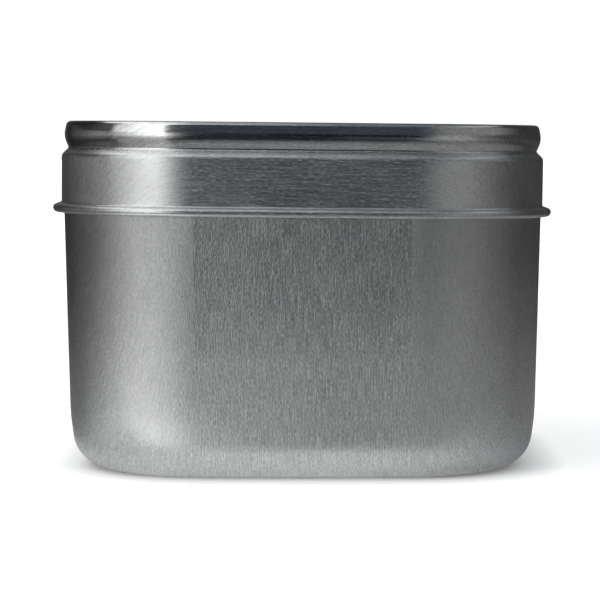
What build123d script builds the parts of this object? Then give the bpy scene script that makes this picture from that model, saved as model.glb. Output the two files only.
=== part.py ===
from build123d import *
import math
import os

# Square tin with a window in its slip-on lid, pressed from thin tinplate.
# Lengths are millimetres and angles are degrees, with +Z up.
# The origin is the middle of the base, on the surface that the tin stands on.
# A half is the distance from the middle of the tin to the middle of one side:
# every wall follows the same rounded square, set in or out.
# Bend radii are to the middle of the sheet.

# Sheet and plan
sheet = 0.25                # tinplate thickness, body and lid
body_width = 95.7           # outside, over the straight seat under the lid
corner_radius = 27.0        # outside, in plan, at the seat
body_height = 62.15         # ground to the top of the rolled rim

# Body wall, from the rim down to the base
rim_curl = 1.6              # diameter of the edge that is rolled inwards
rim_curl_turn = 250.0       # how far round that edge is rolled
seat_height = 11.4          # rim down to the end of the straight seat that takes the lid
seat_bend = 5.0             # slight bend where the seat ends and the draft starts
wall_draft = 1.4            # lean of the wall below the seat
foot_bend = 45.0            # easy bend where the wall starts to turn in
foot_lean = 8.7             # lean of the wall from there to the heel
foot_run = 1.1              # straight run from that bend to the heel
heel_bend = 6.8             # tight curve from the wall to the base

# Base, which stands on a flat ring and has a raised panel inside it
foot_width = 2.6            # flat ring, inside the heel
panel_rise = 0.6            # ground to the underside of the panel
panel_slope = 1.5           # width of the slope up to the panel
panel_bend = 0.9            # bends at the foot and the top of that slope
panel_margin = 1.5          # flat rim of the panel that is formed with the slope

# Lid skirt and the bead rolled round its lower edge
slip_clearance = 0.2        # between the seat and the skirt, each side
bead = 1.7                  # diameter of the edge that is rolled outwards
bead_turn = 262.0           # how far round that edge is rolled
flare_bend = 0.6            # hollow between the skirt and the bead
skirt_depth = 12.8          # middle of the groove down to the underside of the bead

# Groove, which stops the lid on the rim, and the shoulder below it
groove_depth = 1.45         # skirt's outside in to where the flanks of the groove meet
groove_bend = 0.6           # hollow of the groove
shoulder_lean = 47.0        # lean of the flank between the groove and the skirt
shoulder_bend = 1.3         # round of the shoulder
stop_clearance = 0.1        # between the groove and the rolled rim

# Bulged band above the groove, and the crest that runs round the window frame
band_height = 5.35          # middle of the groove up to the top of the crest
bulge_height = 2.3          # middle of the groove up to the fullest part of the band
bulge_inset = 0.42          # fullest part of the band, in from the skirt's outside
bulge_bend = 4.0            # round of the band
crest_inset = 1.0           # top corner of the band, in from the skirt's outside
crest_bend = 0.9            # round of that corner
crest_width = 3.0           # top corner of the band in to the slope down to the frame

# Window frame, sunk below the crest, with its edge turned down at the opening
frame_recess = 1.3          # top of the crest down to the frame
recess_slope = 0.8          # width of the slope from the crest to the frame
recess_bend = 0.5           # bends of that slope
frame_width = 4.875         # flat of the frame, from the slope in to the window's opening
lip_depth = 1.1             # frame's top down to the end of the turned edge
lip_bend = 0.4              # round of the turned edge

# Window pane, a clear plastic tray whose turned edge is trapped above the groove
pane_sheet = 0.35           # plastic thickness
pane_gap = 0.08             # under the turned edge of the frame, and beside the band
pane_bend = 0.9             # round of the tray's edge

# How the lid sits: pressed on, but a little higher on the left
lid_skew = 0.58             # out of level about the Y axis, 0 for a level lid

body_half = body_width / 2
corner_centre = body_half - corner_radius
skin = sheet / 2


def bent_path(points, bends):
    """Straight runs through the points, with a round bend at each inner one.
    Each piece is (start, end, centre, turn): a run has no centre, and turn is 1 for a
    bend to the left and -1 for one to the right."""
    pieces = []
    corners = [Vector(*point) for point in points]
    here = corners[0]
    for before, corner, after, bend in zip(corners, corners[1:], corners[2:], bends):
        way_in = (corner - before).normalized()
        way_out = (after - corner).normalized()
        turn = math.copysign(1, way_in.cross(way_out).Z)
        cut = bend * math.tan(math.radians(way_in.get_angle(way_out)) / 2)
        start = corner - way_in * cut
        end = corner + way_out * cut
        centre = start + way_in.rotate(Axis.Z, 90 * turn) * bend
        pieces.append((here, start, None, 0))
        pieces.append((start, end, centre, turn))
        here = end
    pieces.append((here, corners[-1], None, 0))
    return pieces


def rolled_edge(pieces, radius, sweep, turn):
    """The path, carried on from its end by an edge rolled into a tube."""
    before, start = pieces[-1][:2]
    heading = (start - before).normalized()
    centre = start + heading.rotate(Axis.Z, 90 * turn) * radius
    end = centre + (start - centre).rotate(Axis.Z, turn * sweep)
    return pieces + [(start, end, centre, turn)]


def sheet_section(pieces, thickness):
    """Section of a sheet of that thickness, upright in the XZ plane, with the path along
    its middle."""
    outline = []
    for hand in (-1, 1):
        side = []
        for start, end, centre, turn in pieces:
            if centre is None:
                aside = (end - start).normalized().rotate(Axis.Z, 90 * hand) * thickness / 2
                side.append(Line(start + aside, end + aside))
                continue
            bend = (start - centre).length
            share = (bend - hand * turn * thickness / 2) / bend
            sweep = (start - centre).get_signed_angle(end - centre, Vector(0, 0, turn)) % 360
            spoke = (start - centre) * share
            stops = [centre + spoke.rotate(Axis.Z, turn * sweep * part) for part in (0, 0.5, 1)]
            side.append(ThreePointArc(*stops))
        outline.append(side)
    right, left = outline
    ends = [Line(right[0] @ 0, left[0] @ 0), Line(right[-1] @ 1, left[-1] @ 1)]
    return Plane.XZ * Face(Wire(right + left + ends))


def pressed_ring(section):
    """Carries a section round the rounded square, along each side and round each corner."""
    side = extrude(section, amount=corner_centre, both=True)
    corner_axis = Axis((corner_centre, corner_centre, 0), (0, 0, 1))
    corner = revolve(Pos(0, corner_centre, 0) * section, axis=corner_axis, revolution_arc=90)
    quarters = [Rot(0, 0, 90 * quarter) for quarter in range(4)]
    return Part() + [quarter * piece for quarter in quarters for piece in (side, corner)]


def rounded_plate(half, low, thickness):
    """Flat plate on the same rounded square, resting at that height."""
    outline = RectangleRounded(2 * half, 2 * half, half - corner_centre)
    return Pos(0, 0, low) * extrude(outline, amount=thickness)


# The lid's halves and heights follow from the body that it fits. The flank below the groove
# stops on the rolled rim, so the groove's height comes from where the two meet.
skirt_half = body_half + slip_clearance + sheet
neck_half = skirt_half - groove_depth
slope_foot = skirt_half - skin - crest_inset - crest_width - recess_slope
window_half = slope_foot - frame_width
flank_lean = math.radians(shoulder_lean)
shoulder_drop = groove_depth / math.tan(flank_lean)
rim_reach = rim_curl / 2 + stop_clearance + skin
rim_aside = body_half - rim_curl / 2 - (neck_half - skin)
rim_rise = (rim_reach + rim_aside * math.cos(flank_lean)) / math.sin(flank_lean)
skew_lift = body_half * math.sin(math.radians(lid_skew))
groove_z = body_height - rim_curl / 2 + rim_rise + skew_lift
bead_z = groove_z - skirt_depth + bead / 2
crest_z = groove_z + band_height
frame_z = crest_z - frame_recess


def make_tin_body():
    """Body, drawn in one piece: panelled base, round heel, drafted wall, straight seat and
    a rim rolled inwards."""
    wall = body_half - skin
    seat_foot = body_height - seat_height
    heel_cut = heel_bend * math.tan(math.radians(90 - foot_lean) / 2)
    wall_cut = foot_bend * math.tan(math.radians(foot_lean - wall_draft) / 2)
    lean = Vector(0, heel_cut + foot_run + wall_cut).rotate(Axis.Z, -foot_lean)
    wall_foot_z = skin + lean.Y
    wall_foot_half = wall - (seat_foot - wall_foot_z) * math.tan(math.radians(wall_draft))
    heel_half = wall_foot_half - lean.X
    foot_half = heel_half - heel_cut - foot_width
    panel_half = foot_half - panel_slope
    panel_z = panel_rise + skin
    points = [
        (panel_half - panel_margin, panel_z),
        (panel_half, panel_z),
        (foot_half, skin),
        (heel_half, skin),
        (wall_foot_half, wall_foot_z),
        (wall, seat_foot),
        (wall, body_height - rim_curl / 2),
    ]
    path = bent_path(points, [panel_bend, panel_bend, heel_bend, foot_bend, seat_bend])
    path = rolled_edge(path, rim_curl / 2 - skin, rim_curl_turn, 1)
    floor = rounded_plate(panel_half - panel_margin, panel_rise, sheet)
    return pressed_ring(sheet_section(path, sheet)) + floor


def seat_lid(piece):
    """Turns a piece of the lid out of level, about the middle of the bead."""
    return Pos(0, 0, bead_z) * Rot(0, lid_skew, 0) * Pos(0, 0, -bead_z) * piece


def make_lid_shell():
    """Lid, pressed in one piece: turned edge of the window, frame, crest, bulged band,
    groove, shoulder, skirt and a bead rolled outwards."""
    lip = window_half + skin
    skirt = skirt_half - skin
    crest = skirt - crest_inset
    points = [
        (lip, frame_z - lip_depth),
        (lip, frame_z - skin),
        (slope_foot, frame_z - skin),
        (crest - crest_width, crest_z - skin),
        (crest, crest_z - skin),
        (skirt - bulge_inset, groove_z + bulge_height),
        (neck_half - skin, groove_z),
        (skirt, groove_z - shoulder_drop),
        (skirt, bead_z + bead / 2 - skin),
        (skirt_half + bead / 2, bead_z + bead / 2 - skin),
    ]
    bends = [
        lip_bend,
        recess_bend,
        recess_bend,
        crest_bend,
        bulge_bend,
        groove_bend,
        shoulder_bend,
        flare_bend,
    ]
    path = rolled_edge(bent_path(points, bends), bead / 2 - skin, bead_turn, -1)
    return pressed_ring(sheet_section(path, sheet))


def make_window_pane():
    """Clear tray under the frame. Its turned edge fits inside the band and ends on the flank
    that leads down to the groove."""
    half_sheet = pane_sheet / 2
    pane_z = frame_z - lip_depth - pane_gap
    edge = skirt_half - crest_inset - sheet - pane_gap - half_sheet
    flank = Vector(groove_depth - bulge_inset, bulge_height)
    inner_flank = neck_half - skin - skin * flank.length / flank.Y
    foot_rise = (edge + half_sheet + pane_gap - inner_flank) * flank.Y / flank.X
    points = [
        (window_half, pane_z - half_sheet),
        (edge, pane_z - half_sheet),
        (edge, groove_z + foot_rise),
    ]
    tray = pressed_ring(sheet_section(bent_path(points, [pane_bend]), pane_sheet))
    return tray + rounded_plate(window_half, pane_z - pane_sheet, pane_sheet)


nodes = {
    "tin_body": make_tin_body(),
    "lid_shell": seat_lid(make_lid_shell()),
    "window_pane": seat_lid(make_window_pane()),
}

os.makedirs("parts", exist_ok=True)
for name, piece in nodes.items():
    export_step(piece, f"parts/{name}.step")
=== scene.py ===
import cmath
import math

import bpy
import numpy as np
from mathutils import Euler, Matrix, Vector, noise


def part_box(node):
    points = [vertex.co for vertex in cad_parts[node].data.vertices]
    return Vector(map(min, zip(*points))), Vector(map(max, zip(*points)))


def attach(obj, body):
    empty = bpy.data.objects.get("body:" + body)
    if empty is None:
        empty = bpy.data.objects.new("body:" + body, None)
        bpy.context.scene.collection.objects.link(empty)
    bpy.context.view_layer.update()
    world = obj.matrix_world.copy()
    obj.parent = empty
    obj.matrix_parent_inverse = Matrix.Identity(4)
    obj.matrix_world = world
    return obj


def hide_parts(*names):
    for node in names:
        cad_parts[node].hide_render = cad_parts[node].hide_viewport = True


# Looks of a square tin with a window in its slip-on lid.
# Sizes are in millimetres, as a tinsmith gives them, and a mesh is turned to metres as it is made.
# A half is the distance from the middle of the tin to the middle of one side.
# A place on a section is a complex number: its half, with its height as the imaginary part.

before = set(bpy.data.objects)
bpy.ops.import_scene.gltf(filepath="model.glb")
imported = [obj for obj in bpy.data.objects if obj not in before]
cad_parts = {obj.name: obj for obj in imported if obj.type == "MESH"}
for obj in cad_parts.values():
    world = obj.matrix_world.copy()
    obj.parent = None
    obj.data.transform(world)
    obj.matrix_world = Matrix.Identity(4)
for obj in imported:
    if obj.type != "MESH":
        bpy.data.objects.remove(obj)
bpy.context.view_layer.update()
MM = 0.001

# Sheet and plan
sheet = 0.25
corner_radius = 27.0
body_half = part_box("tin_body")[1].x / MM
body_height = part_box("tin_body")[1].z / MM

# Body wall and base
rim_curl = 1.6
rim_curl_turn = 250.0
seat_height = 11.4
seat_bend = 5.0
wall_draft = 1.4
foot_bend = 45.0
foot_lean = 8.7
foot_run = 1.1
heel_bend = 6.8
foot_width = 2.6
panel_rise = 0.6
panel_slope = 1.5
panel_bend = 0.9
panel_margin = 1.5

# Lid
slip_clearance = 0.2
bead = 1.7
bead_turn = 262.0
flare_bend = 0.6
skirt_depth = 12.8
groove_depth = 1.45
groove_bend = 0.6
shoulder_lean = 47.0
shoulder_bend = 1.3
stop_clearance = 0.1
band_height = 5.35
bulge_height = 2.3
bulge_inset = 0.42
bulge_bend = 4.0
crest_inset = 1.0
crest_bend = 0.9
crest_width = 3.0
frame_recess = 1.3
recess_slope = 0.8
recess_bend = 0.5
frame_width = 4.875
lip_depth = 1.1
lip_bend = 0.4
lid_skew = 0.58

# Window pane
pane_sheet = 0.35
pane_gap = 0.08
pane_bend = 0.9

# Heights and halves that follow from those
skin = sheet / 2
corner_centre = body_half - corner_radius
skirt_half = body_half + slip_clearance + sheet
neck_half = skirt_half - groove_depth
slope_foot = skirt_half - skin - crest_inset - crest_width - recess_slope
window_half = slope_foot - frame_width
flank_lean = math.radians(shoulder_lean)
shoulder_drop = groove_depth / math.tan(flank_lean)
rim_reach = rim_curl / 2 + stop_clearance + skin
rim_aside = body_half - rim_curl / 2 - (neck_half - skin)
rim_rise = (rim_reach + rim_aside * math.cos(flank_lean)) / math.sin(flank_lean)
skew_lift = body_half * math.sin(math.radians(lid_skew))
groove_z = body_height - rim_curl / 2 + rim_rise + skew_lift
bead_z = groove_z - skirt_depth + bead / 2
crest_z = groove_z + band_height
frame_z = crest_z - frame_recess

# How finely the pressings are meshed
run_step = 1.4              # along the straight runs of a section
turn_step = 7.0             # degrees, round its bends
side_step = 1.5             # along the straight sides, in plan
corner_stops = 34           # round each corner, in plan
plate_rows = 14             # from the edge of a flat plate in to its middle
sharp_bend = 50.0           # degrees, from which an edge is shaded sharp
least_turn = 0.001          # radians, below which a stop in plan is on a straight side
middle_reach = 1.0          # round the axis, where a plate has no way outwards

# Thin sheet is never quite flat
wave_length = 24.0          # from one soft swelling of a wall to the next
wave_height = 0.020         # how far it stands out or in
ripple_share = 0.5          # of that height, for the smaller swellings on it
ripple_count = 2.3          # smaller swellings to each large one
crown = 0.45                # how far the middle of each side bows out, in plan
crown_reach = 30.0          # from the middle of a side to where its bow ends, on the corner

# Where the dies rubbed the tin coating smooth, and, on the body, where its colour is painted darker
# as shade under the lid
polish_fade = 1.5           # height over which the lid goes from satin to polished
rough_unshaded_up_to = 22.8          # height above the ground up to which the body is roughest
smooth_shaded_from = 45.6          # and the height from which it is smoothest

# Tin coating, over the marks of rolling and pressing
# Sizes are (across, along) the grain. Rolling lines are about 0.05 mm across, too fine for the
# picture, so the materials draw them four to five times as coarse.
BLANK = 100.0               # millimetres of the flat blank to one unit of its map
tin_colour = "cbcccc"
cloud_size = (11.0, 16.0)   # soft patches in the coating
grain_depth = 0.2           # height of the grain's bump, before its strength
streak_depth = 0.5          # height of the long streaks, as a share of the fine grain's
fine_rise = 0.45            # what the fine grain adds to the roughness at most, as a share
streak_rise = 0.3
cloud_rise = 0.2


def bent_path(points, bends):
    """Straight runs through the points, with a round bend at each inner one. Each piece is
    (start, end, centre, turn): a run has no centre, and a turn to the left is positive."""
    pieces = []
    here = points[0]
    for before, corner, after, bend in zip(points, points[1:], points[2:], bends):
        way_in = (corner - before) / abs(corner - before)
        way_out = (after - corner) / abs(after - corner)
        turn = cmath.phase(way_out / way_in)
        cut = bend * math.tan(abs(turn) / 2)
        start, end = corner - way_in * cut, corner + way_out * cut
        centre = start + way_in * 1j * math.copysign(bend, turn)
        pieces += [(here, start, None, 0), (start, end, centre, turn)]
        here = end
    return pieces + [(here, points[-1], None, 0)]


def rolled_edge(pieces, radius, turn):
    """The path, carried on from its end by an edge rolled into a tube."""
    before, start = pieces[-1][:2]
    heading = (start - before) / abs(start - before)
    centre = start + heading * 1j * math.copysign(radius, turn)
    return pieces + [(start, centre + (start - centre) * cmath.rect(1, turn), centre, turn)]


def walk(pieces):
    """Stops along a path: the place, the heading there, and the length of sheet so far."""
    stops = []
    along = 0
    for start, end, centre, turn in pieces:
        if centre is None:
            length = abs(end - start)
            count = math.ceil(length / run_step)
            heading = (end - start) / length
            spots = [(start + (end - start) * k / count, heading) for k in range(count + 1)]
        else:
            spoke = start - centre
            length = abs(spoke * turn)
            count = max(2, math.ceil(math.degrees(abs(turn)) / turn_step))
            heading = spoke / abs(spoke) * 1j * math.copysign(1, turn)
            swings = [cmath.rect(1, turn * k / count) for k in range(count + 1)]
            spots = [(centre + spoke * swing, heading * swing) for swing in swings]
        spots = [(*spot, along + length * k / count) for k, spot in enumerate(spots)]
        stops += spots[1:] if stops else spots
        along += length
    return stops


def both_faces(stops, thickness):
    """Places round a sheet whose middle follows the stops: down its right face and back up
    its left one, each with the length of sheet so far."""
    right = [(place - heading * 1j * thickness / 2, along) for place, heading, along in stops]
    left = [(place + heading * 1j * thickness / 2, along) for place, heading, along in stops]
    return right + left[::-1]


def rounded_square():
    """Stops round the plan, as (corner centre or place beside it, way outwards)."""
    count = math.ceil(2 * corner_centre / side_step)
    shares = [2 * k / count - 1 for k in range(count)]
    stops = [(corner_centre * (1 + share * 1j), 1) for share in shares]
    turns = [math.pi / 2 * k / corner_stops for k in range(corner_stops)]
    stops += [(corner_centre * (1 + 1j), cmath.rect(1, turn)) for turn in turns]
    return [(spot * 1j ** side, out * 1j ** side) for side in range(4) for spot, out in stops]


def bowed(spot, out):
    """How far a stop stands out because its side is bowed: fully in the middle of the side,
    and less and less towards the corner."""
    turn = (cmath.phase(out) + math.pi / 4) % (math.pi / 2) - math.pi / 4
    along = corner_centre
    if abs(turn) < least_turn:
        along = min(abs((spot / out).imag), corner_centre)
    along += abs(turn) * corner_radius
    return crown * (1 + math.cos(math.pi * min(1, along / crown_reach))) / 2


ring = rounded_square()
ring_spots = np.array([spot for spot, out in ring])
ring_ways = np.array([out for spot, out in ring])
ring_bows = np.array([bowed(spot, out) for spot, out in ring])


def ring_row(place, blank_half):
    """One row of a pressing, all round it: (plan, height, place in the flat blank)."""
    plan = ring_spots + ring_ways * (place.real - corner_centre + ring_bows)
    blank = ring_spots + ring_ways * (blank_half - corner_centre)
    return plan, np.full(len(ring), place.imag), blank


def plate(row):
    """Rows from the edge of a flat plate in to near its middle."""
    plan, height, blank = row
    shares = [1 - k / plate_rows for k in range(1, plate_rows)]
    return [(plan * share, height, blank * share) for share in shares]


def waver(points):
    """The points of a thin wall, moved in or out a little. In the middle of the base they move
    up or down instead."""
    moved = []
    for x, y, z in points:
        here = Vector((x, y, z)) / wave_length
        swell = noise.noise(here) + ripple_share * noise.noise(here * ripple_count)
        out = Vector((0, 0, 1))
        if abs(x) + abs(y) > middle_reach:
            out = Vector((x, y, 0)).normalized()
        moved.append(Vector((x, y, z)) + out * swell * wave_height)
    return moved


def lid_polish(heights):
    """How far the dies ironed the lid smooth at each height: its band fully, and its skirt
    not at all."""
    return np.clip((heights - groove_z) / polish_fade + 0.5, 0, 1)


def body_polish_and_shade(heights):
    """How smooth the body is at each height: the least in its lower third. The same share
    sets how much painted shade darkens its colour towards the top, under the lid.
    """
    return np.clip((heights - rough_unshaded_up_to) / (smooth_shaded_from - rough_unshaded_up_to), 0, 1)


def pressing(name, rows, centred, tilted, wavy=True, polish=None):
    """A mesh through rows that go all round the tin. A centred one is closed by a point in
    the middle of its first and last rows, and any other joins its last row to its first. A
    tilted one sits out of level, as the lid does. Polish gives how smooth the sheet is at each
    height, and on the body also how far its colour is painted darker as shade under the lid."""
    size = len(ring)
    plan = np.concatenate([row[0] for row in rows])
    points = np.stack([plan.real, plan.imag, np.concatenate([row[1] for row in rows])], 1)
    blank = np.concatenate([row[2] for row in rows])
    faces = []
    for row in range(len(rows) - (1 if centred else 0)):
        here, there = row * size, (row + 1) % len(rows) * size
        for k in range(size):
            after = (k + 1) % size
            faces.append((here + k, here + after, there + after, there + k))
    if centred:
        low, high = points[:size].mean(0), points[-size:].mean(0)
        first, last = len(points), len(points) + 1
        points = np.vstack([points, low, high])
        blank = np.append(blank, [0, 0])
        top = (len(rows) - 1) * size
        for k in range(size):
            after = (k + 1) % size
            faces += [(after, k, first), (top + k, top + after, last)]
    ironed = polish(points[:, 2]) if polish else np.zeros(len(points))
    if wavy:
        points = waver(points)
    mesh = bpy.data.meshes.new(name)
    mesh.from_pydata([Vector(p) * MM for p in points], [], faces)
    grain = mesh.uv_layers.new(name="blank")
    spots = blank[[loop.vertex_index for loop in mesh.loops]] / BLANK
    grain.data.foreach_set("uv", np.stack([spots.real, spots.imag], 1).ravel())
    mesh.attributes.new("polish", "FLOAT", "POINT").data.foreach_set("value", ironed)
    mesh.shade_smooth()
    mesh.set_sharp_from_angle(angle=math.radians(sharp_bend))
    piece = bpy.data.objects.new(name, mesh)
    bpy.context.scene.collection.objects.link(piece)
    if tilted:
        pivot = Matrix.Translation((0, 0, groove_z * MM))
        turn = Matrix.Rotation(math.radians(lid_skew), 4, "Y")
        mesh.transform(pivot @ turn @ pivot.inverted())
    return piece


def body_pressing():
    """Body: panelled base, round heel, drafted wall, straight seat and a rim rolled inwards."""
    wall = body_half - skin
    seat_foot = body_height - seat_height
    heel_cut = heel_bend * math.tan(math.radians(90 - foot_lean) / 2)
    wall_cut = foot_bend * math.tan(math.radians(foot_lean - wall_draft) / 2)
    lean = (heel_cut + foot_run + wall_cut) * cmath.rect(1, math.radians(90 - foot_lean))
    wall_foot_z = skin + lean.imag
    wall_foot = wall - (seat_foot - wall_foot_z) * math.tan(math.radians(wall_draft))
    heel_half = wall_foot - lean.real
    foot_half = heel_half - heel_cut - foot_width
    panel_half = foot_half - panel_slope
    panel_z = panel_rise + skin
    points = [
        complex(panel_half - panel_margin, panel_z),
        complex(panel_half, panel_z),
        complex(foot_half, skin),
        complex(heel_half, skin),
        complex(wall_foot, wall_foot_z),
        complex(wall, seat_foot),
        complex(wall, body_height - rim_curl / 2),
    ]
    path = bent_path(points, [panel_bend, panel_bend, heel_bend, foot_bend, seat_bend])
    path = rolled_edge(path, rim_curl / 2 - skin, math.radians(rim_curl_turn))
    start = points[0].real
    rows = [ring_row(place, start + along) for place, along in both_faces(walk(path), sheet)]
    rows = plate(rows[0])[::-1] + rows + plate(rows[-1])
    return pressing("body_pressing", rows, centred=True, tilted=False, polish=body_polish_and_shade)


def lid_pressing():
    """Lid: turned edge of the window, frame, crest, bulged band, groove, shoulder, skirt and a
    bead rolled outwards."""
    lip = window_half + skin
    skirt = skirt_half - skin
    crest = skirt - crest_inset
    points = [
        complex(lip, frame_z - lip_depth),
        complex(lip, frame_z - skin),
        complex(slope_foot, frame_z - skin),
        complex(crest - crest_width, crest_z - skin),
        complex(crest, crest_z - skin),
        complex(skirt - bulge_inset, groove_z + bulge_height),
        complex(neck_half - skin, groove_z),
        complex(skirt, groove_z - shoulder_drop),
        complex(skirt, bead_z + bead / 2 - skin),
        complex(skirt_half + bead / 2, bead_z + bead / 2 - skin),
    ]
    bends = [
        lip_bend,
        recess_bend,
        recess_bend,
        crest_bend,
        bulge_bend,
        groove_bend,
        shoulder_bend,
        flare_bend,
    ]
    path = rolled_edge(bent_path(points, bends), bead / 2 - skin, -math.radians(bead_turn))
    rows = [ring_row(place, lip + along) for place, along in both_faces(walk(path), sheet)]
    return pressing("lid_pressing", rows, centred=False, tilted=True, polish=lid_polish)


def window_tray():
    """Clear tray under the frame, with its edge turned down inside the band."""
    half_sheet = pane_sheet / 2
    pane_z = frame_z - lip_depth - pane_gap
    edge = skirt_half - crest_inset - sheet - pane_gap - half_sheet
    flank = complex(groove_depth - bulge_inset, bulge_height)
    inner_flank = neck_half - skin - skin * abs(flank) / flank.imag
    foot = (edge + half_sheet + pane_gap - inner_flank) * flank.imag / flank.real
    points = [
        complex(window_half, pane_z - half_sheet),
        complex(edge, pane_z - half_sheet),
        complex(edge, groove_z + foot),
    ]
    stops = walk(bent_path(points, [pane_bend]))
    rows = [ring_row(place, window_half + along) for place, along in both_faces(stops, pane_sheet)]
    rows = plate(rows[0])[::-1] + rows + plate(rows[-1])
    return pressing("window_tray", rows, centred=True, tilted=True, wavy=False)


def linear(hex_colour):
    """An sRGB hex colour as a linear one."""
    parts = [int(hex_colour[k:k + 2], 16) / 255 for k in (0, 2, 4)]
    return [p / 12.92 if p <= 0.04045 else ((p + 0.055) / 1.055) ** 2.4 for p in parts] + [1]


def add(tree, kind, inputs=(), **settings):
    """Adds a node with its settings, and gives its inputs values or links: by name or number
    in a dictionary, or else in their own order."""
    made = tree.nodes.new(kind)
    for name, value in settings.items():
        setattr(made, name, value)
    pairs = inputs.items() if isinstance(inputs, dict) else enumerate(inputs)
    for key, value in pairs:
        if isinstance(value, bpy.types.NodeSocket):
            tree.links.new(value, made.inputs[key])
        else:
            made.inputs[key].default_value = value
    return made


def new_material(name):
    material = bpy.data.materials.new(name)
    material.use_nodes = True
    material.node_tree.nodes.clear()
    return material, material.node_tree


def blank_noise(tree, size_x, size_y, detail):
    """Noise on the flat blank, with swells of that size in millimetres along its X and Y."""
    spot = add(tree, "ShaderNodeUVMap", uv_map="blank").outputs["UV"]
    stretch = (BLANK / size_x, BLANK / size_y, 1)
    scaled = add(tree, "ShaderNodeVectorMath", (spot, stretch), operation="MULTIPLY").outputs[0]
    inputs = {"Vector": scaled, "Scale": 1.0, "Detail": detail}
    return add(tree, "ShaderNodeTexNoise", inputs, noise_dimensions="2D").outputs["Fac"]


def tinplate(name, along_x, rough, ironed, anisotropy, fine_size, streak_size, dent, mottle, painted_shade):
    """Tin-coated steel sheet, cold rolled and then pressed: a grey metal with a fine grain,
    satin where it was only drawn, and smoother where the dies ironed it, which the attribute
    polish gives. The grain runs along X or Y of the flat blank and follows the sheet up the
    walls. Rough and ironed are the two roughnesses, dent is how deep the grain stands, mottle
    how much its shade swings, and the last argument is how much darker the colour is painted
    where polish is full: painted shade under the lid, at the top of the body."""
    material, tree = new_material(name)

    def grain(size, detail):
        across, along = size
        size_x, size_y = (along, across) if along_x else (across, along)
        return blank_noise(tree, size_x, size_y, detail)

    fine = grain(fine_size, 1.0)
    streaks = grain(streak_size, 2.0)
    clouds = grain(cloud_size, 2.0)
    polish = add(tree, "ShaderNodeAttribute", attribute_name="polish").outputs["Fac"]

    # The grain only ever makes the metal rougher: each noise, from low to high, adds a share
    swing = 1.0
    for noise_value, low, high, rise in (
        (fine, 0.55, 0.85, fine_rise),
        (streaks, 0.50, 0.85, streak_rise),
        (clouds, 0.25, 0.75, cloud_rise),
    ):
        part = add(tree, "ShaderNodeMapRange", (noise_value, low, high, 0, rise)).outputs["Result"]
        swing = add(tree, "ShaderNodeMath", (swing, part), operation="ADD").outputs[0]
    base = add(tree, "ShaderNodeMapRange", (polish, 0, 1, rough, ironed)).outputs["Result"]
    roughness = add(tree, "ShaderNodeMath", (base, swing), operation="MULTIPLY").outputs[0]

    # The grain's valleys are a little darker than the sheet and its ridges paler. Where polish
    # is full the colour is painted darker too, which on the body is painted shade under the lid
    valley = 1 - mottle / 4
    shade = 1.0
    for value, low, high, to_low, to_high in (
        (fine, 0.30, 0.85, valley, 1 + mottle * 3 / 4),
        (streaks, 0.30, 0.80, valley, 1 + mottle / 2),
        (polish, 0, 1, 1, painted_shade),
    ):
        inputs = (value, low, high, to_low, to_high)
        part = add(tree, "ShaderNodeMapRange", inputs).outputs["Result"]
        shade = add(tree, "ShaderNodeMath", (shade, part), operation="MULTIPLY").outputs[0]
    colour = {0: linear(tin_colour)[:3], "Scale": shade}
    colour = add(tree, "ShaderNodeVectorMath", colour, operation="SCALE").outputs[0]

    height = (streaks, streak_depth, fine)
    height = add(tree, "ShaderNodeMath", height, operation="MULTIPLY_ADD").outputs[0]
    bump = {"Height": height, "Strength": dent, "Distance": grain_depth * MM}
    tangent = add(tree, "ShaderNodeTangent", direction_type="UV_MAP", uv_map="blank")
    shader = add(
        tree, "ShaderNodeBsdfPrincipled",
        {
            "Base Color": colour,
            "Metallic": 1.0,
            "Roughness": roughness,
            "Anisotropic": anisotropy,
            "Anisotropic Rotation": 0.25 if along_x else 0.0,
            "Normal": add(tree, "ShaderNodeBump", bump).outputs["Normal"],
            "Tangent": tangent.outputs["Tangent"],
        },
    )
    add(tree, "ShaderNodeOutputMaterial", {"Surface": shader.outputs[0]})
    return material


def clear_pet():
    """Clear PET sheet, thermoformed: smooth and colourless, so it mirrors the room at a low
    angle and shows the inside of the tin from above. It throws no shadow on the inside."""
    material, tree = new_material("clear_pet")
    shader = add(
        tree, "ShaderNodeBsdfPrincipled",
        {"Base Color": linear("f7fafa"), "Roughness": 0.03, "IOR": 1.57, "Transmission Weight": 1.0},
    )
    to_light = add(tree, "ShaderNodeLightPath").outputs["Is Shadow Ray"]
    open_way = add(tree, "ShaderNodeBsdfTransparent")
    mixed = add(tree, "ShaderNodeMixShader", (to_light, shader.outputs[0], open_way.outputs[0]))
    add(tree, "ShaderNodeOutputMaterial", {"Surface": mixed.outputs[0]})
    return material


# Studio
# It has glowing cards all round, a glowing ceiling, a pale floor and a glossy table round the
# tin. Of these the camera sees the floor alone, and the metal mirrors them all. Places are in
# metres, and a glow of 1 is white.

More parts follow.
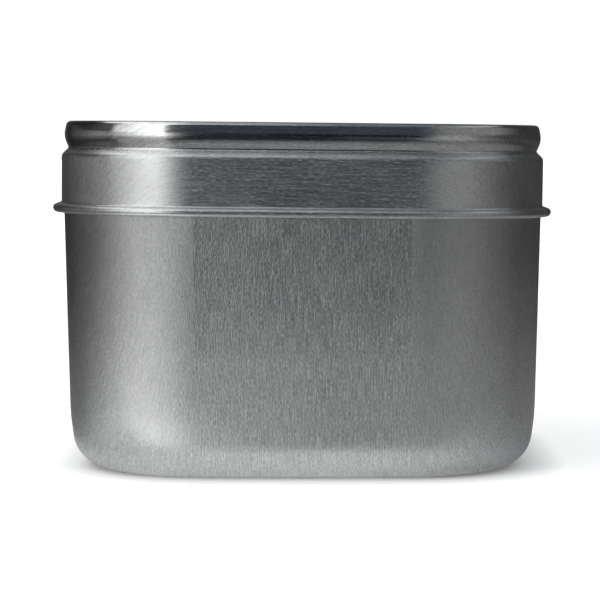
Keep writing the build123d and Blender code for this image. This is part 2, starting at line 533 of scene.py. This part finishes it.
# Each stop of the cards has its azimuth in degrees, with 0 towards the camera and 90 towards +X,
# its tint, and its glow low down and high up. Two stops close together are an edge.
white = "ffffff"
shade_blue = "bcd2e6"
card_stops = [
    # Dim wall on the left
    (-142, white, 0.02, 0.02),
    (-108, white, 0.14, 0.02),
    (-91, white, 0.26, 0.07),
    (-76, white, 0.26, 0.07),
    # Bright card to the left of the camera, with a sharp right edge high up
    (-74, white, 0.45, 0.85),
    (-68, white, 0.55, 1.00),
    (-56, white, 0.98, 1.35),
    (-44, white, 1.55, 1.65),
    (-29, white, 1.92, 1.90),
    (-28, white, 1.60, 0.16),
    (-24, white, 0.90, 0.13),
    # Dark gap round the camera
    (-20, "eef4f9", 0.36, 0.10),
    (-12, "d0e0ee", 0.10, 0.09),
    (-7, shade_blue, 0.04, 0.08),
    (2, shade_blue, 0.01, 0.09),
    (12, "c4d8ea", 0.04, 0.10),
    # Weak card to the right of the camera
    (22, "e4eef6", 0.20, 0.14),
    (30, white, 0.32, 0.21),
    (40, white, 0.35, 0.24),
    (50, white, 0.30, 0.25),
    (61, white, 0.18, 0.26),
    (82, white, 0.08, 0.25),
    (92, white, 0.06, 0.16),
    # Dark wall on the right and behind the tin
    (110, white, 0.05, 0.04),
    (166, white, 0.04, 0.06),
    (180, white, 0.05, 0.07),
    (200, white, 0.06, 0.06),
    (218, white, 0.02, 0.02),
]


def stage_mesh(name, points, faces, material):
    mesh = bpy.data.meshes.new(name)
    mesh.from_pydata(points, [], faces)
    mesh.materials.append(material)
    piece = bpy.data.objects.new(name, mesh)
    bpy.context.scene.collection.objects.link(piece)
    return piece


def card_glow(azimuth, level):
    """Colour that the cards glow with at an azimuth, low down (level 0) or high up (level 1)."""
    for before, after in zip(card_stops, card_stops[1:]):
        if before[0] <= azimuth <= after[0]:
            share = (azimuth - before[0]) / (after[0] - before[0])
            first = [part * before[2 + level] for part in linear(before[1])[:3]]
            last = [part * after[2 + level] for part in linear(after[1])[:3]]
            return [a * (1 - share) + b * share for a, b in zip(first, last)] + [1]


def make_cards(distance=0.9, top=0.9, low_end=0.20, high_start=0.24, step=3.0):
    """Wall of cards round the tin, with a column of faces every few degrees."""
    azimuths = {stop[0] for stop in card_stops}
    azimuths |= set(np.arange(card_stops[0][0], card_stops[-1][0], step).tolist())
    azimuths = sorted(azimuths)
    points = []
    colours = []
    for height, level in ((0, 0), (low_end, 0), (high_start, 1), (top, 1)):
        for azimuth in azimuths:
            turn = math.radians(azimuth)
            points.append((distance * math.sin(turn), -distance * math.cos(turn), height))
            colours += card_glow(azimuth, level)
    size = len(azimuths)
    corners = [row * size + k for row in range(3) for k in range(size - 1)]
    faces = [(k, k + 1, k + size + 1, k + size) for k in corners]
    material, tree = new_material("studio_cards")
    colour = add(tree, "ShaderNodeAttribute", attribute_name="glow").outputs["Color"]
    shine = add(tree, "ShaderNodeEmission", {"Color": colour, "Strength": 1.0})
    add(tree, "ShaderNodeOutputMaterial", {"Surface": shine.outputs[0]})
    cards = stage_mesh("studio_cards", points, faces, material)
    cards.data.attributes.new("glow", "FLOAT_COLOR", "POINT").data.foreach_set("color", colours)
    cards.visible_camera = False


def seen_directly(tree):
    """1 for rays from the camera, from gloss and through glass, and 0 for the light that
    lands on things."""
    path = add(tree, "ShaderNodeLightPath").outputs
    seen = (path["Is Camera Ray"], path["Is Glossy Ray"])
    seen = add(tree, "ShaderNodeMath", seen, operation="MAXIMUM").outputs[0]
    seen = (seen, path["Is Transmission Ray"])
    return add(tree, "ShaderNodeMath", seen, operation="MAXIMUM").outputs[0]


def square(reach, height):
    return [(x * reach, y * reach, height) for x, y in ((-1, -1), (1, -1), (1, 1), (-1, 1))]


def fade(tree, axis, start, end, to_start, to_end):
    """A value that goes from one to another between two places along an axis."""
    spot = add(tree, "ShaderNodeNewGeometry").outputs["Position"]
    along = add(tree, "ShaderNodeSeparateXYZ", (spot,)).outputs[axis]
    return add(tree, "ShaderNodeMapRange", (along, start, end, to_start, to_end)).outputs["Result"]


def make_ceiling(reach=1.0, height=0.95):
    """Ceiling that glows most on the left, a little at the far right and less at the back. It
    is white on the left and faintly blue elsewhere."""
    material, tree = new_material("ceiling")
    left = fade(tree, "X", -0.34, 0.05, 1.45, 0.22)
    far_right = fade(tree, "X", 0.40, 0.95, 0.0, 0.8)
    back = fade(tree, "Y", 0.15, 0.40, 1.0, 0.6)
    glow = add(tree, "ShaderNodeMath", (left, far_right), operation="ADD").outputs[0]
    glow = add(tree, "ShaderNodeMath", (glow, back), operation="MULTIPLY").outputs[0]
    blue = fade(tree, "X", -0.40, -0.10, 0, 1)
    tint = {0: blue, 6: linear(white), 7: linear("e6eef5")}
    tint = add(tree, "ShaderNodeMix", tint, data_type="RGBA").outputs[2]
    shine = add(tree, "ShaderNodeEmission", {"Color": tint, "Strength": glow})
    add(tree, "ShaderNodeOutputMaterial", {"Surface": shine.outputs[0]})
    ceiling = stage_mesh("ceiling", square(reach, height), [(0, 1, 2, 3)], material)
    ceiling.visible_camera = False


def make_floor(reach=6.0, shade_reach=0.009):
    """Pale floor that keeps the tin's shadow. To the camera it is lifted to white, and the lift
    fades close to the tin, where the tin shades it. The metal sees a lift that is brightest
    below the middle of the tin."""
    material, tree = new_material("floor")
    matt = add(tree, "ShaderNodeBsdfDiffuse", {"Color": linear("f2f2f2")})
    open_sky = add(tree, "ShaderNodeAmbientOcclusion", {"Distance": shade_reach}).outputs["AO"]
    spot = add(tree, "ShaderNodeNewGeometry").outputs["Position"]
    away = add(tree, "ShaderNodeVectorMath", (spot,), operation="LENGTH").outputs["Value"]
    near_lift = add(tree, "ShaderNodeMapRange", (open_sky, 0, 1, 0, 0.75)).outputs["Result"]
    far_lift = add(tree, "ShaderNodeMapRange", (away, 0.3, 0.5, 0, 1)).outputs["Result"]
    to_camera = add(tree, "ShaderNodeMath", (near_lift, far_lift), operation="MAXIMUM").outputs[0]
    left_lift = fade(tree, "X", -0.05, -0.03, 0.12, 0.40)
    right_lift = fade(tree, "X", 0.01, 0.05, 0.80, 0.25)
    to_metal = (left_lift, right_lift)
    to_metal = add(tree, "ShaderNodeMath", to_metal, operation="MULTIPLY").outputs[0]
    from_camera = add(tree, "ShaderNodeLightPath").outputs["Is Camera Ray"]
    lift = {0: from_camera, 2: to_metal, 3: to_camera}
    lift = add(tree, "ShaderNodeMix", lift, data_type="FLOAT").outputs[0]
    lift = (seen_directly(tree), lift)
    lift = add(tree, "ShaderNodeMath", lift, operation="MULTIPLY").outputs[0]
    glow = add(tree, "ShaderNodeEmission", {"Color": linear(white), "Strength": lift})
    both = add(tree, "ShaderNodeAddShader", (matt.outputs[0], glow.outputs[0]))
    add(tree, "ShaderNodeOutputMaterial", {"Surface": both.outputs[0]})
    stage_mesh("floor", square(reach, 0), [(0, 1, 2, 3)], material)


def make_table(inner=0.058, outer=3.0, height=0.0005):
    """Glossy table round the tin, seen in the metal alone. It has a pale haze near the tin and
    out to the front right, and a bright patch at the tin's front left corner."""
    material, tree = new_material("glossy_table")
    spot = add(tree, "ShaderNodeNewGeometry").outputs["Position"]
    away = add(tree, "ShaderNodeVectorMath", (spot,), operation="LENGTH").outputs["Value"]

    mirrored = add(tree, "ShaderNodeFresnel", {"IOR": 2.2}).outputs[0]
    shine = (mirrored, fade(tree, "X", -0.10, 0.10, 1.30, 1.20))
    shine = add(tree, "ShaderNodeMath", shine, operation="MULTIPLY").outputs[0]
    gloss = add(tree, "ShaderNodeBsdfGlossy", {"Color": shine, "Roughness": 0.15})

    past_rim = fade(tree, "X", -0.08, -0.02, 0.16, 0.25)
    near_haze = (away, 0.065, 0.095, 0.18, past_rim)
    near_haze = add(tree, "ShaderNodeMapRange", near_haze).outputs["Result"]
    right = fade(tree, "X", 0.02, 0.12, 0.04, 1.0)
    front = fade(tree, "Y", -0.25, 0.0, 0.65, 0.14)
    kept_far = add(tree, "ShaderNodeMath", (right, front), operation="MULTIPLY").outputs[0]
    kept = add(tree, "ShaderNodeMapRange", (away, 0.11, 0.21, 1.0, kept_far)).outputs["Result"]
    haze = add(tree, "ShaderNodeMath", (near_haze, kept), operation="MULTIPLY").outputs[0]

    patch_middle = (-0.056, -0.060, height)
    from_patch = (spot, patch_middle)
    from_patch = add(tree, "ShaderNodeVectorMath", from_patch, operation="DISTANCE").outputs["Value"]
    patch = add(tree, "ShaderNodeMapRange", (from_patch, 0.008, 0.044, 1.1, 0)).outputs["Result"]
    haze = add(tree, "ShaderNodeMath", (haze, patch), operation="ADD").outputs[0]

    glow = add(tree, "ShaderNodeEmission", {"Color": linear(white), "Strength": haze})
    both = add(tree, "ShaderNodeAddShader", (gloss.outputs[0], glow.outputs[0]))
    add(tree, "ShaderNodeOutputMaterial", {"Surface": both.outputs[0]})
    points = square(inner, height) + square(outer, height)
    faces = [(k, k + 4, (k + 1) % 4 + 4, (k + 1) % 4) for k in range(4)]
    table = stage_mesh("glossy_table", points, faces, material)
    table.visible_camera = False
    table.visible_shadow = False
    table.visible_diffuse = False


def make_world(fill=0.5):
    """White room round the stage, which is the picture's background. What little of its light
    passes between the cards and the ceiling is dimmer."""
    world = bpy.data.worlds.new("studio")
    bpy.context.scene.world = world
    world.use_nodes = True
    tree = world.node_tree
    tree.nodes.clear()
    strength = (seen_directly(tree), 0, 1, fill, 1.0)
    strength = add(tree, "ShaderNodeMapRange", strength).outputs["Result"]
    back = add(tree, "ShaderNodeBackground", {"Color": linear(white), "Strength": strength})
    add(tree, "ShaderNodeOutputWorld", {"Surface": back.outputs[0]})


def make_camera():
    """Camera of the photograph: half a metre in front of the tin, and looking slightly down."""
    picture_width = 600         # pixels of the photograph
    focal = 2375.5              # in those pixels
    aside = 2.575               # how far the tin's middle is right of the picture's, in pixels
    distance = 0.5
    height = 0.0663
    pitch = 0.0689              # radians that it looks down
    data = bpy.data.cameras.new("camera")
    camera = bpy.data.objects.new("camera", data)
    bpy.context.scene.collection.objects.link(camera)
    bpy.context.scene.camera = camera
    data.sensor_width = 36.0
    data.lens = focal / picture_width * data.sensor_width
    camera.location = (0, -distance, height)
    camera.rotation_euler = Euler((math.pi / 2 - pitch, 0, aside / focal), "XYZ")
    data.clip_start = 0.01
    data.clip_end = 20


make_camera()
make_world()
make_cards()
make_ceiling()
make_floor()
make_table()

# Body: drawn once and little rubbed by the dies, so it is satin with a fine upright grain
satin_tinplate = tinplate(
    "drawn_tinplate",
    along_x=False,
    rough=0.35,
    ironed=0.288,
    anisotropy=0.7,
    fine_size=(0.22, 0.8),
    streak_size=(0.28, 4.5),
    dent=0.23,
    mottle=0.46,
    # Painted shade: the body's colour is darker towards its top, under the lid
    painted_shade=0.83,
)

# Lid: the dies ironed its band near to a mirror, and its skirt is satin with a fine level grain
bright_tinplate = tinplate(
    "ironed_tinplate",
    along_x=True,
    rough=0.285,
    ironed=0.13,
    anisotropy=0.0,
    fine_size=(0.24, 1.1),
    streak_size=(0.4, 6.0),
    dent=0.025,
    mottle=0.34,
    # No painted shade on the lid
    painted_shade=1.0,
)

body = body_pressing()
body.data.materials.append(satin_tinplate)
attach(body, "tin")
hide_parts("tin_body")

lid = lid_pressing()
lid.data.materials.append(bright_tinplate)
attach(lid, "lid")
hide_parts("lid_shell")

tray = window_tray()
tray.data.materials.append(clear_pet())
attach(tray, "lid")
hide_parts("window_pane")

bpy.context.scene.view_settings.view_transform = "Standard"
